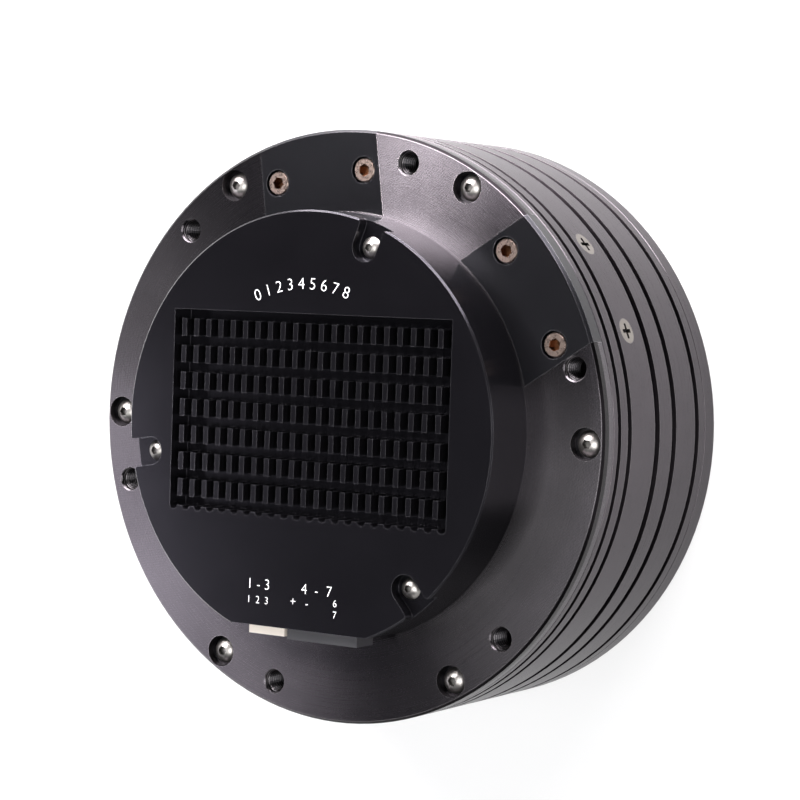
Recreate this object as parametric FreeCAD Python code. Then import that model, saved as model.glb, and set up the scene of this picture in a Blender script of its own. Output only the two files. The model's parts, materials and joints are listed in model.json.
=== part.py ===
"""Robot joint actuator: brushless motor, planetary gear stage, crossed roller output bearing.

Millimetres and degrees. +Z runs along the joint axis from the output face to the rear cover,
the origin is the centre of the output-side face, and the connectors point to -Y.
"""
import FreeCAD, Part
import math
import os

V = FreeCAD.Vector
Z = V(0, 0, 1)

# ---------------------------------------------------------------- driving dimensions
# Casing
BARREL_R = 53.0
BARREL_LEN = 43.4            # output face to the rear ring face
BARREL_WALL = 7.0
FRONT_T = 4.32               # front housing flange
FLANGE_T = 3.56              # rear flange
END_CHAMFER = 0.5            # outer edges of the barrel
JOINT_CHAMFER = 0.17         # both sides of a parting line
SPIGOT_GAP = 0.05
SPIGOT_T = 2.44              # rear flange's spigot
SPIGOT_W = 6.75
GROOVE_DEPTH = 1.0
# Start as a share of the barrel's length, and width
GROOVES = ((0.1553, 1.66), (0.3664, 1.8), (0.5173, 1.95), (0.7638, 1.5), (0.8537, 1.29))
# Rear cover
COVER_LEDGE = 14.75          # width of the ring left around the cover
COVER_R = BARREL_R - COVER_LEDGE
COVER_H = 11.6
COVER_WALL = 2.25
COVER_PLATE = 2.3
COVER_CHAMFER = 0.25
COVER_FLAT_DEPTH = 3.0       # flat cut off the rim beside the connectors
NOTCH_ANGLES = (70.0, 190.0, 310.0)
NOTCH_R = 2.55
NOTCH_LIP = 0.8              # rounding where a notch meets the rim
NOTCH_INSET = 4.25           # cover screws, in from the rim
SCREW_BOSS_R = 3.3
WINDOW_X = (-13.3, 15.0)     # connector window
WINDOW_SILL = 2.2
# Pin-fin field milled into the cover, its size and place in parts of the cover's radius
FIN_FIELD = (1.527, 0.927)
FIN_OFFSET = (0.013, 0.063)
PIN_COLUMNS, PIN_ROWS = 21, 7
CHANNEL_W, CROSS_CHANNEL_W = 1.7, 1.72
FIN_DEPTH = 4.8
FIN_FLOOR = 1.5
SCALLOP_REACH = 0.75         # half-round run-out of each cutter pass
FIN_BOSS_MARGIN = 1.4
# Fasteners: thread radius, head radius, head height, hexagon across flats
M2_BUTTON = (1.0, 1.9, 1.2, 1.3)
M25_BUTTON = (1.25, 2.35, 1.45, 1.5)
M25_CAP = (1.25, 2.15, 2.1, 2.0)
M25_FLAT_R = 2.25            # countersunk heads
M2_FLAT_R = 1.6
RING_SCREW_HEAD_R = 2.2
HEAD_RIM = 0.2               # chamfer round a cap head
SCREW_GAP = 0.05
FLUSH_GAP = 0.03             # countersunk heads sit this much below their face
SEAT_LAND = 0.08             # straight wall between a countersink and its face
TIP_GAP = 0.2                # hole left past a screw's end
FLANGE_SCREW_EDGE = 3.5      # flange screws, in from the barrel's outside
FLANGE_SCREW_BORE_R = 2.85
FLANGE_SCREW_SEAT = 1.75     # counterbore depth
FLANGE_SCREW_LEN = 8.0
MOUNT_EDGE = 4.3             # mounting holes, in from the barrel's outside
MOUNT_HOLE_R = 2.05
MOUNT_CHAMFER = 0.2
MOUNT_DEPTH = 9.0
MOUNT_ANGLE = 15.0
FRONT_SCREW_ANGLE = 45.0
# Inset plates
INSET_W = 25.2
INSET_COVER_GAP = 0.2
INSET_GAP = 0.06
INSET_ANGLES = {"top": 97.6, "side": 32.7}
INSET_SCREW_EDGE = 7.1
INSET_SCREW_SPREAD = 11.7
INSET_SCREW_BORE_R = 2.45
INSET_SCREW_SEAT = 2.3
INSET_SCREW_LEN = 3.2
# Stator and its side screws
STATOR_DEPTH = 7.1           # radially, back iron and teeth
SLOTS = 24
TOOTH_W = 3.4
SLOT_OPENING = 1.6
TOOTH_TIP = 1.3
BACK_IRON = 3.0
COIL_OVERHANG = 2.3
COIL_GAP = 0.1
COIL_SPACE = 0.45            # half of the space between two coils
COIL_END_GAP = 0.8           # coils to the ring gear and to the rear flange
STATOR_SCREW_RAISE = 1.3     # above the middle of the stator
STATOR_SCREW_ANGLES = (21.1, 39.7, 141.1, 159.7, 261.1, 279.7)
STATOR_SCREW_LEN = 8.6
LEAD_R = 0.8
LEAD_BEND = 1.6
LEAD_ANGLES = (255.0, 270.0, 285.0)
LEAD_INSET = 6.85            # leads pass the rear flange this far inside the cover's rim
LEAD_HOLE_R = 2.0
# Rotor
AIR_GAP = 0.6
POLES = 28
MAGNET_T = 2.3
MAGNET_SPACE = 0.9
YOKE_T = 2.8
HUB_RIM_T = 2.5
HUB_WEB_T = 3.0
HUB_WEB_RAISE = 0.7          # above the middle of the stator
HUB_WINDOWS = 6
HUB_WINDOW_SHARE = 0.53      # of the web's width
HUB_SLEEVE_T = 3.0
SLEEVE_GAPS = (0.4, 0.6)     # rotor sleeve to the front and rear bearings
SHAFT_R = 6.5
NECK_STEP = 0.25             # shaft's neck outside the pinion's teeth
# Gears: one module for sun, planets and ring
GEAR_SPACE = 18.0            # casing's bore to the ring gear's pitch circle
PRESSURE_ANGLE = 25.0
ADDENDUM = 0.8
DEDENDUM = 1.05
FLANK_GAP = 0.03             # each flank gives up this much at the pitch circle
SUN_TEETH, PLANET_TEETH, RING_TEETH = 10, 35, 80
PLANET_ANGLES = (90.0, 210.0, 330.0)
PLANET_FACE = 7.0
PLANET_BORE_R = 4.0
PLANET_HOLE_R = 1.7
PLANET_HOLES = 6
PIN_R = 2.5
PIN_SEAT = 4.8               # planet pins' depth in the output flange
BUSH_RUN_GAP = 0.03
RING_SCREWS = 8
RING_SCREW_LEN = 6.0
RING_WALL = 4.3
RING_FIT_GAP = 0.02
RING_FACE_GAP = 0.2          # ring gear to the output side
CLAMP_SLEEVE_T = 2.4
# Output bearing, crossed rollers
FRONT_WALL = 5.0             # casing round the bearing
ROLLER_D = 3.0
ROLLER_EDGE = 0.15
ROLLERS = 36
ROLLER_GAP = 0.03
RACE_SPLIT = 0.15
RACE_DEPTH = 10.0            # both races together, radially
OUT_BEARING_W = 7.0
SPACER_GAP = 0.25
LIP_T = 1.6
# Output flange
OUTPUT_RECESS = 0.4
OUTPUT_EDGE = 0.3
SEAL_SPACE = 1.2             # between the casing's lip and the flange
SEAL_GAP = 0.3
OUTPUT_HOLE_EDGE = 5.0       # output bolts, in from the bearing's bore
OUTPUT_HOLES = 6
OUTPUT_HOLE_R = 2.05
OUTPUT_HOLE_DEPTH = 7.0
DOWEL_R = 2.0
DOWEL_PCR = 18.0
DOWEL_DEPTH = 3.6
DOWEL_ANGLES = (90.0, 270.0)
PILOT_R = 10.0
PILOT_DEPTH = 4.0
PILOT_CHAMFER = 0.4
HUB_STEP = 4.0               # flange's raised middle, in from the bearing's bore
RETAINER_T = 1.6
RETAINER_REACH = 3.0         # over the inner race
RETAINER_SCREWS = 6
RETAINER_SCREW_ANGLE = 15.0
RETAINER_SCREW_EDGE = 1.8
RETAINER_SCREW_LEN = 4.6
PILLAR_EDGE = 4.5            # pillars, in from the flange's raised middle
PILLAR_R = 4.0
PILLAR_TURN = 60.0           # pillars stand halfway between the planets
CARRIER_SCREW_BITE = 4.6
CARRIER_T = 2.2
CARRIER_GAP = 0.44           # carrier's rim to the ring gear's teeth
AXIAL_GAP = 0.1
# Levels in the gear stage, from the planet side of the carrier plate or the rear flange's seat
SPIGOT_SHORT = 1.4           # gear casing's spigot ends before the carrier
RING_OVERLAP = 0.8           # ring gear reaches past the planet side
RING_RELIEF = 0.8
PINION_SHORT = 0.6
CARRIER_FLOOR = 1.2          # plate under the front bearing
BEARING_SINK = 0.8           # rear bearing reaches into the rear flange
# Rotor ball bearings: bore radius, outer radius, width, ball radius, balls
FRONT_BEARING = (5.0, 9.5, 5.0, 1.2, 9)
REAR_BEARING = (6.0, 10.5, 5.0, 1.3, 10)
BALL_GAP = 0.03
POCKET_GAP = 0.08
RACE_WALL = 1.35
CAGE_GAP = 0.3
BEARING_SHOULDER = 1.6
BEARING_HOUSING = 2.5        # wall round a ball bearing
# Electronics
BOARD_T = 1.6
BOARD_STANDOFF = 2.2
BOARD_GAP = 0.5
BOARD_SCREW_INSET = 5.0      # board screws, in from the cover screws' circle
BOARD_SCREW_ANGLES = (45.0, 135.0, 225.0, 315.0)
BOARD_SCREW_BITE = 2.2
BOARD_SPACER_R = 2.0
CHIP_T = 1.0
PAD_T = 0.5
PAD_MARGIN = 0.5
TRANSISTORS = 6
TRANSISTOR_SIZE = (5.0, 6.0)
TRANSISTOR_PITCH = 8.0
TRANSISTOR_Y = 10.0
CONTROLLER_SIZE = 7.0
CONTROLLER_Y = -6.0
ENCODER_CHIP_SIZE = 5.0
CAN_R = 3.0
CAN_EDGE = 0.4
CAN_ANGLES = (92.0, 106.0, 120.0)
CAN_INSET = 8.25             # capacitors, in from the cover's rim
MAGNET_GAP = 1.0             # encoder magnet to encoder chip
ENCODER_R, ENCODER_T = 3.0, 2.0
ENCODER_WALL = 1.2
ENCODER_SINK = 1.0
DATA_CONNECTOR = (-12.35, 7.65, 7.6, 4.8)      # left side, width, depth, height
POWER_CONNECTOR = (-3.8, 14.7, 11.5, 5.2)
CONNECTOR_PROUD = (1.95, 2.25)                 # past the cover's flat: data, power
CONNECTOR_WALL = 0.55
CONNECTOR_BACK = 2.4
PIN_SETBACK = 2.0
DATA_PIN_R = 0.25
POWER_PIN_R, SIGNAL_PIN_R = 1.0, 0.4

# ---------------------------------------------------------------- derived radii
BORE_R = BARREL_R - BARREL_WALL
FLANGE_SCREW_PCR = BARREL_R - FLANGE_SCREW_EDGE
MOUNT_PCR = BARREL_R - MOUNT_EDGE
INSET_SCREW_PCR = BARREL_R - INSET_SCREW_EDGE
INSET_R_IN = COVER_R + INSET_COVER_GAP
COVER_FLAT_Y = COVER_FLAT_DEPTH - COVER_R
COVER_SCREW_PCR = COVER_R - NOTCH_INSET
BOARD_SCREW_PCR = COVER_SCREW_PCR - BOARD_SCREW_INSET
LEAD_PCR = COVER_R - LEAD_INSET
FIN_CENTRE = (FIN_OFFSET[0] * COVER_R, FIN_OFFSET[1] * COVER_R)
COLUMN_PITCH = (FIN_FIELD[0] * COVER_R - CHANNEL_W) / PIN_COLUMNS
ROW_PITCH = (FIN_FIELD[1] * COVER_R - CROSS_CHANNEL_W) / PIN_ROWS
STATOR_R_IN = BORE_R - STATOR_DEPTH
HALF_SLOT = math.cos(math.pi / SLOTS)
COIL_R_IN = (STATOR_R_IN + TOOTH_TIP) / HALF_SLOT + COIL_GAP
COIL_R_OUT = (BORE_R - BACK_IRON) * HALF_SLOT - COIL_GAP
COIL_HALF_IN = TOOTH_W / 2.0 + COIL_GAP
COIL_HALF_OUT = COIL_R_IN * math.tan(math.pi / SLOTS) - COIL_SPACE
MAGNET_R = STATOR_R_IN - AIR_GAP
YOKE_R = MAGNET_R - MAGNET_T
HUB_R = YOKE_R - YOKE_T
RACE_R_OUT = BORE_R - FRONT_WALL
RACE_R_IN = RACE_R_OUT - RACE_DEPTH
ROLLER_PCR = (RACE_R_OUT + RACE_R_IN) / 2.0
CASING_LIP_R = ROLLER_PCR + SEAL_SPACE / 2.0
OUTPUT_LIP_R = ROLLER_PCR - SEAL_SPACE / 2.0
HUB_STEP_R = RACE_R_IN - HUB_STEP
OUTPUT_HOLE_PCR = RACE_R_IN - OUTPUT_HOLE_EDGE
RETAINER_SCREW_PCR = RACE_R_IN - RETAINER_SCREW_EDGE
RING_SCREW_PCR = (BORE_R + RACE_R_OUT) / 2.0
MODULE = 2.0 * (BORE_R - GEAR_SPACE) / RING_TEETH      # 0.7
RING_TIP_R = MODULE * (RING_TEETH / 2.0 - ADDENDUM)
RING_ROOT_R = MODULE * (RING_TEETH / 2.0 + DEDENDUM)
CARRIER_R = RING_TIP_R - CARRIER_GAP
CENTRE_DISTANCE = MODULE * (SUN_TEETH + PLANET_TEETH) / 2.0
PILLAR_PCR = HUB_STEP_R - PILLAR_EDGE

# ---------------------------------------------------------------- derived levels
RING_Z = BARREL_LEN                        # rear ring face
FLANGE_Z = BARREL_LEN - FLANGE_T           # seat of the rear flange
TOP_Z = RING_Z + COVER_H
PLATE_Z = TOP_Z - COVER_PLATE              # underside of the cover's plate
FIN_Z = TOP_Z - FIN_DEPTH
BOSS_Z = FIN_Z - FIN_FLOOR
BOARD_Z = RING_Z + BOARD_STANDOFF
BOARD_TOP = BOARD_Z + BOARD_T
RACE_TOP = LIP_T + OUT_BEARING_W
GEAR_Z = RACE_TOP + RETAINER_T             # face that the planets run against
PIN_Z = GEAR_Z - PIN_SEAT
PLANET_Z = GEAR_Z + 6 * AXIAL_GAP
CARRIER_Z = PLANET_Z + PLANET_FACE + 6 * AXIAL_GAP
CARRIER_TOP = CARRIER_Z + CARRIER_T
CASE_SPIGOT_Z = CARRIER_Z - SPIGOT_SHORT
RING_GEAR_TOP = CARRIER_Z + RING_OVERLAP
PINION_TOP = CARRIER_Z - PINION_SHORT
FRONT_BEARING_Z = CARRIER_Z + CARRIER_FLOOR
FRONT_BEARING_TOP = FRONT_BEARING_Z + FRONT_BEARING[2]
REAR_BEARING_TOP = FLANGE_Z + BEARING_SINK
REAR_BEARING_Z = REAR_BEARING_TOP - REAR_BEARING[2]
STATOR_Z = RING_GEAR_TOP + COIL_END_GAP + COIL_OVERHANG
STATOR_TOP = FLANGE_Z - SPIGOT_T - COIL_END_GAP - COIL_OVERHANG
STATOR_MIDDLE = (STATOR_Z + STATOR_TOP) / 2.0
STATOR_SCREW_Z = STATOR_MIDDLE + STATOR_SCREW_RAISE
HUB_WEB_Z = STATOR_MIDDLE + HUB_WEB_RAISE - HUB_WEB_T / 2.0
HUB_WEB_TOP = HUB_WEB_Z + HUB_WEB_T
CHIP_Z = BOARD_Z - CHIP_T
ENCODER_TOP = CHIP_Z - MAGNET_GAP


# ---------------------------------------------------------------- helpers
def disc(r, z0, z1):
    return Part.makeCylinder(r, z1 - z0, V(0, 0, z0))


def ring(r_out, r_in, z0, z1):
    return disc(r_out, z0, z1).cut(disc(r_in, z0 - 1, z1 + 1))


def post(r, z0, z1, angle, radius):
    return Part.makeCylinder(r, z1 - z0, polar(radius, angle, z0))


def polar(radius, angle, z=0.0):
    a = math.radians(angle)
    return V(radius * math.cos(a), radius * math.sin(a), z)


def box(x0, x1, y0, y1, z0, z1):
    return Part.makeBox(x1 - x0, y1 - y0, z1 - z0, V(x0, y0, z0))


def turned(points, angle=360.0):
    """Revolve a closed (radius, z) outline about Z."""
    wire = Part.makePolygon([V(r, 0, z) for r, z in points + points[:1]])
    return Part.Face(wire).revolve(V(0, 0, 0), Z, angle)


def prism(points, z0, z1):
    wire = Part.makePolygon([V(x, y, z0) for x, y in points + points[:1]])
    return Part.Face(wire).extrude(V(0, 0, z1 - z0))


def turn(shape, angle):
    copy = shape.copy()
    copy.rotate(V(0, 0, 0), Z, angle)
    return copy


def steps(count, start=0.0):
    return [start + 360.0 * i / count for i in range(count)]


def cut_all(shape, tools):
    return shape.cut(Part.makeCompound(tools))


def hexagon(across_flats, z0, z1):
    r = across_flats / math.sqrt(3.0)
    return prism([(polar(r, a).x, polar(r, a).y) for a in steps(6)], z0, z1)


def save(name, shapes):
    """Write one sub-part; identical pieces of one kind share a node as separate solids."""
    solids = [s for shape in shapes for s in shape.Solids]
    shape = solids[0] if len(solids) == 1 else Part.makeCompound(solids)
    shape.exportStep("parts/" + name + ".step")


# ---------------------------------------------------------------- fasteners
def button_screw(size, length, seat_z):
    """Domed head on a seat facing +Z, shank down to -Z, hexagon socket."""
    thread, head, height, flats = size
    dome_r = (head * head + height * height) / (2.0 * height)
    dome = Part.makeSphere(dome_r, V(0, 0, seat_z + height - dome_r))
    body = disc(head, seat_z, seat_z + height).common(dome)
    body = body.fuse(disc(thread, seat_z - length, seat_z)).removeSplitter()
    return body.cut(hexagon(flats, seat_z + 0.45 * height, seat_z + height + 1))


def cap_screw(size, length, seat_z):
    thread, head, height, flats = size
    end, top = seat_z - length, seat_z + height
    body = turned([(0, end), (thread, end), (thread, seat_z), (head, seat_z), (head, top - HEAD_RIM),
                   (head - HEAD_RIM, top), (0, top)])
    return body.cut(hexagon(flats, seat_z + 0.4 * height, top + 1))


def flat_screw(thread, seat_r, length, face_z):
    """Countersunk head with a cross recess, just below the face it is sunk into."""
    head, top_z = seat_r - FLUSH_GAP, face_z - FLUSH_GAP
    cone = head - thread
    end = top_z - length
    body = turned([(0, end), (thread, end), (thread, top_z - cone), (head, top_z), (0, top_z)])
    slot = box(-0.62 * head, 0.62 * head, -0.15 * head, 0.15 * head, top_z - 0.4 * head, top_z + 1)
    return body.cut(slot).cut(turn(slot, 90))


def flat_seat(thread, head, length, top_z):
    """Space that a countersunk screw needs below top_z."""
    r, cone_z = thread + SCREW_GAP, top_z - SEAT_LAND
    return turned([(0, top_z - length), (r, top_z - length), (r, top_z - head + r),
                   (head - SEAT_LAND, cone_z), (head, cone_z), (head, top_z + 2), (0, top_z + 2)])


def place(shape, radius, angle):
    copy = shape.copy()
    copy.translate(V(radius, 0, 0))
    return turn(copy, angle)


def radial(shape, z, angle):
    """Turn a screw drawn along +Z so that it points outwards along the radius."""
    copy = shape.copy()
    copy.rotate(V(0, 0, 0), V(0, 1, 0), 90)
    copy.translate(V(0, 0, z))
    return turn(copy, angle)


# ---------------------------------------------------------------- gear teeth
def involute(angle):
    return math.tan(angle) - angle


def half_angle(teeth, radius, gap):
    """Half of a tooth's width, as an angle, at a radius; an internal gear's space has the same form."""
    pitch_r = MODULE * teeth / 2.0
    alpha = math.radians(PRESSURE_ANGLE)
    at_radius = math.acos(min(1.0, pitch_r * math.cos(alpha) / radius))
    return math.pi / (2 * teeth) - gap / pitch_r + involute(alpha) - involute(at_radius)


def gear_outline(teeth, out_by, in_by, gap, first):
    """Corner points of a toothed outline whose teeth reach out_by past the pitch circle."""
    pitch_r = MODULE * teeth / 2.0
    base_r = pitch_r * math.cos(math.radians(PRESSURE_ANGLE))
    root_r, tip_r = pitch_r - in_by, pitch_r + out_by
    flank_r = max(root_r, base_r + 0.02)
    flank = [(r, half_angle(teeth, r, gap)) for r in (flank_r, (flank_r + tip_r) / 2.0, tip_r)]
    if flank_r > root_r:
        flank.insert(0, (root_r, flank[0][1]))
    points = []
    for i in range(teeth):
        centre = math.radians(first + 360.0 * i / teeth)
        points += [(r, centre - half) for r, half in flank]
        points += [(r, centre + half) for r, half in reversed(flank)]
    return [(r * math.cos(a), r * math.sin(a)) for r, a in points]


def spur_gear(teeth, first, z0, z1):
    outline = gear_outline(teeth, ADDENDUM * MODULE, DEDENDUM * MODULE, FLANK_GAP, first)
    return prism(outline, z0, z1)


# ---------------------------------------------------------------- casing
def mount_hole(z_top, depth, down=True):
    """Tapped mounting hole with a chamfered mouth, on the axis."""
    r, c = MOUNT_HOLE_R, MOUNT_CHAMFER
    end = z_top - depth if down else z_top + depth
    step, over = (-c, 1.0) if down else (c, -1.0)
    return turned([(0, end), (r, end), (r, z_top + step), (r + c, z_top), (r + c, z_top + over),
                   (0, z_top + over)])


def screw_hole(size, depth, z_top):
    return disc(size[0] + SCREW_GAP, z_top - depth, z_top)


def main_housing():
    c = JOINT_CHAMFER
    outline = [(BORE_R, FRONT_T), (BARREL_R - c, FRONT_T), (BARREL_R, FRONT_T + c)]
    for share, width in GROOVES:
        start, floor = share * BARREL_LEN, BARREL_R - GROOVE_DEPTH
        outline += [(BARREL_R, start), (floor, start), (floor, start + width), (BARREL_R, start + width)]
    outline += [(BARREL_R, FLANGE_Z - c), (BARREL_R - c, FLANGE_Z), (BORE_R, FLANGE_Z)]
    mounts = [disc(MOUNT_HOLE_R, RING_Z - MOUNT_DEPTH, FLANGE_Z + 1),
              disc(MOUNT_HOLE_R, FRONT_T - 1, MOUNT_DEPTH)]
    cuts = [place(hole, MOUNT_PCR, a) for hole in mounts for a in steps(6, MOUNT_ANGLE)]
    rear = screw_hole(M25_BUTTON, FLANGE_SCREW_LEN + 1, RING_Z - FLANGE_SCREW_SEAT)
    cuts += [place(rear, FLANGE_SCREW_PCR, a) for a in steps(6)]
    front = screw_hole(M25_BUTTON, FLANGE_SCREW_LEN + 1, FRONT_T + FLANGE_SCREW_LEN - FLANGE_SCREW_SEAT)
    cuts += [place(front, FLANGE_SCREW_PCR, a) for a in steps(6, FRONT_SCREW_ANGLE)]
    inset = screw_hole(M25_CAP, SPIGOT_T + 1, FLANGE_Z + 1)
    cuts += [place(inset, INSET_SCREW_PCR, a) for a in inset_screw_angles()]
    seat = flat_seat(M25_BUTTON[0], M25_FLAT_R, BARREL_WALL + 1, BARREL_R)
    cuts += [radial(seat, STATOR_SCREW_Z, a) for a in STATOR_SCREW_ANGLES]
    return cut_all(turned(outline), cuts)


def front_housing():
    """Output-side casing: flange, spigot in the main bore, bore for the output bearing and ring gear."""
    c, e = JOINT_CHAMFER, END_CHAMFER
    lip_r, spigot = CASING_LIP_R, BORE_R - SPIGOT_GAP
    outline = [(lip_r, 0), (BARREL_R - e, 0), (BARREL_R, e),
               (BARREL_R, FRONT_T - c), (BARREL_R - c, FRONT_T),
               (spigot, FRONT_T), (spigot, CASE_SPIGOT_Z), (RACE_R_OUT, CASE_SPIGOT_Z),
               (RACE_R_OUT, LIP_T), (lip_r, LIP_T)]
    cuts = [place(mount_hole(0, FRONT_T + 1, down=False), MOUNT_PCR, a) for a in steps(6, MOUNT_ANGLE)]
    through = disc(M25_BUTTON[0] + SCREW_GAP, -1, FRONT_T + 1)
    through = through.fuse(disc(FLANGE_SCREW_BORE_R, -1, FLANGE_SCREW_SEAT))
    cuts += [place(through, FLANGE_SCREW_PCR, a) for a in steps(6, FRONT_SCREW_ANGLE)]
    thread = screw_hole(M25_BUTTON, RING_SCREW_LEN, CASE_SPIGOT_Z + 1)
    cuts += [place(thread, RING_SCREW_PCR, a) for a in steps(RING_SCREWS)]
    return cut_all(turned(outline), cuts)


def inset_outline(clearance):
    """Slot or plate, pointing along +X: parallel sides, round inner end, full flange thickness."""
    half = INSET_W / 2.0 - clearance
    block = box(0, BARREL_R + 2, -half, half, FLANGE_Z, RING_Z)
    return block.cut(disc(INSET_R_IN + clearance, FLANGE_Z - 1, RING_Z + 1))


def rear_flange():
    """Ring that closes the motor: spigot, bearing boss, slots for the insets, holes for every screw."""
    c, e = JOINT_CHAMFER, END_CHAMFER
    spigot, bore = BORE_R - SPIGOT_GAP, REAR_BEARING[1]
    spigot_in, spigot_z = spigot - SPIGOT_W, FLANGE_Z - SPIGOT_T
    shoulder, boss_r = bore - BEARING_SHOULDER, bore + BEARING_HOUSING
    outline = [(shoulder, REAR_BEARING_TOP), (shoulder, RING_Z),
               (BARREL_R - e, RING_Z), (BARREL_R, RING_Z - e), (BARREL_R, FLANGE_Z + c),
               (BARREL_R - c, FLANGE_Z), (spigot, FLANGE_Z), (spigot, spigot_z),
               (spigot_in, spigot_z), (spigot_in, FLANGE_Z), (boss_r, FLANGE_Z),
               (boss_r, REAR_BEARING_Z), (bore, REAR_BEARING_Z), (bore, REAR_BEARING_TOP)]
    cuts = [turn(inset_outline(0.0), a) for a in INSET_ANGLES.values()]
    cuts += [place(mount_hole(RING_Z, FLANGE_T + 1), MOUNT_PCR, a) for a in steps(6, MOUNT_ANGLE)]
    through = disc(M25_BUTTON[0] + SCREW_GAP, FLANGE_Z - 1, RING_Z)
    through = through.fuse(disc(FLANGE_SCREW_BORE_R, RING_Z - FLANGE_SCREW_SEAT, RING_Z + 1))
    cuts += [place(through, FLANGE_SCREW_PCR, a) for a in steps(6)]
    thread = screw_hole(M25_CAP, SPIGOT_T + 1, FLANGE_Z + 1)
    cuts += [place(thread, INSET_SCREW_PCR, a) for a in inset_screw_angles()]
    cuts += [place(screw_hole(M2_BUTTON, 2.6, RING_Z + 1), COVER_SCREW_PCR, a) for a in NOTCH_ANGLES]
    cuts += [place(screw_hole(M2_BUTTON, 3.4, RING_Z + 1), BOARD_SCREW_PCR, a) for a in BOARD_SCREW_ANGLES]
    cuts += [post(LEAD_HOLE_R, FLANGE_Z - 1, RING_Z + 1, a, LEAD_PCR) for a in LEAD_ANGLES]
    return cut_all(turned(outline), cuts)


def inset_screw_angles():
    return [a + s for a in INSET_ANGLES.values() for s in (-INSET_SCREW_SPREAD, INSET_SCREW_SPREAD)]


def inset_plate(angle):
    e, c = END_CHAMFER, JOINT_CHAMFER
    rim = turned([(0, FLANGE_Z), (BARREL_R - c, FLANGE_Z), (BARREL_R, FLANGE_Z + c), (BARREL_R, RING_Z - e),
                  (BARREL_R - e, RING_Z), (0, RING_Z)])
    plate = turn(inset_outline(INSET_GAP), angle).common(rim)
    hole = disc(M25_CAP[0] + SCREW_GAP, FLANGE_Z - 1, RING_Z)
    hole = hole.fuse(disc(INSET_SCREW_BORE_R, RING_Z - INSET_SCREW_SEAT, RING_Z + 1))
    cuts = [place(hole, INSET_SCREW_PCR, angle + s) for s in (-INSET_SCREW_SPREAD, INSET_SCREW_SPREAD)]
    return cut_all(plate, cuts)


# ---------------------------------------------------------------- rear cover
def fin_channels():
    """Everything milled out of the fin field: cross channels, and columns with a round run-out."""
    width, height = FIN_FIELD[0] * COVER_R, FIN_FIELD[1] * COVER_R
    pin_w, pin_h = COLUMN_PITCH - CHANNEL_W, ROW_PITCH - CROSS_CHANNEL_W
    x0, y0 = FIN_CENTRE[0] - width / 2.0, FIN_CENTRE[1] - height / 2.0
    cutter = CHANNEL_W / 2.0
    pocket = box(x0, x0 + width, y0, y0 + height, FIN_Z, TOP_Z + 1)
    runs = []
    for i in range(PIN_COLUMNS + 1):
        x = x0 + cutter + i * COLUMN_PITCH
        runs.append(Part.makeCylinder(cutter, FIN_DEPTH + 1, V(x, y0 + cutter - SCALLOP_REACH, FIN_Z)))
    pins = []
    for i in range(PIN_COLUMNS):
        for j in range(PIN_ROWS):
            x = x0 + CHANNEL_W + i * COLUMN_PITCH
            y = y0 + CROSS_CHANNEL_W + j * ROW_PITCH
            pins.append(box(x, x + pin_w, y, y + pin_h, FIN_Z, TOP_Z))
    floor = (x0, x0 + width, y0 - SCALLOP_REACH, y0 + height)
    return pocket.fuse(runs).removeSplitter(), pins, floor


def cover_notch(angle):
    """Open notch in the rim over a screw, with rounded corners where it meets the rim."""
    lip = NOTCH_LIP
    reach = math.sqrt((COVER_R - lip) ** 2 - (NOTCH_R + lip) ** 2)      # centre of each rounded corner
    slot = Part.makeCylinder(NOTCH_R, COVER_PLATE + 1, V(COVER_SCREW_PCR, 0, PLATE_Z))
    slot = slot.fuse(box(COVER_SCREW_PCR, COVER_R + 2, -NOTCH_R, NOTCH_R, PLATE_Z, TOP_Z + 1))
    for side in (1, -1):
        y = side * (NOTCH_R + lip)
        corner = box(reach, COVER_R + 2, min(0, y), max(0, y), PLATE_Z, TOP_Z + 1)
        slot = slot.fuse(corner.cut(Part.makeCylinder(lip, COVER_PLATE + 3, V(reach, y, PLATE_Z - 1))))
    return turn(slot, angle)


def rear_cover():
    flat_cut = box(-COVER_R, COVER_R, -2 * COVER_R, COVER_FLAT_Y, RING_Z - 1, TOP_Z + 1)
    c = COVER_CHAMFER
    outside = turned([(0, RING_Z), (COVER_R, RING_Z), (COVER_R, TOP_Z - c), (COVER_R - c, TOP_Z),
                      (0, TOP_Z)])
    outside = outside.cut(flat_cut)
    inner_r = COVER_R - COVER_WALL
    cavity = disc(inner_r, RING_Z - 1, PLATE_Z)
    cavity = cavity.cut(box(-COVER_R, COVER_R, -COVER_R, COVER_FLAT_Y + COVER_WALL, RING_Z - 2, TOP_Z))
    pocket, pins, floor = fin_channels()
    m = FIN_BOSS_MARGIN
    solid = [box(floor[0] - m, floor[1] + m, floor[2] - m, floor[3] + m, BOSS_Z, PLATE_Z + 1)]
    solid += [post(SCREW_BOSS_R, RING_Z, PLATE_Z + 1, a, COVER_SCREW_PCR) for a in NOTCH_ANGLES]
    cavity = cut_all(cavity, solid)
    window = box(WINDOW_X[0], WINDOW_X[1], -COVER_R - 1, COVER_FLAT_Y + COVER_WALL + 0.01,
                 RING_Z + WINDOW_SILL, PLATE_Z)
    cuts = [cover_notch(a) for a in NOTCH_ANGLES]
    cuts += [post(M2_BUTTON[0] + SCREW_GAP, RING_Z - 1, TOP_Z, a, COVER_SCREW_PCR) for a in NOTCH_ANGLES]
    cover = outside.cut(cavity).cut(window).cut(pocket)
    return cut_all(cover, cuts).fuse(pins)


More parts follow.
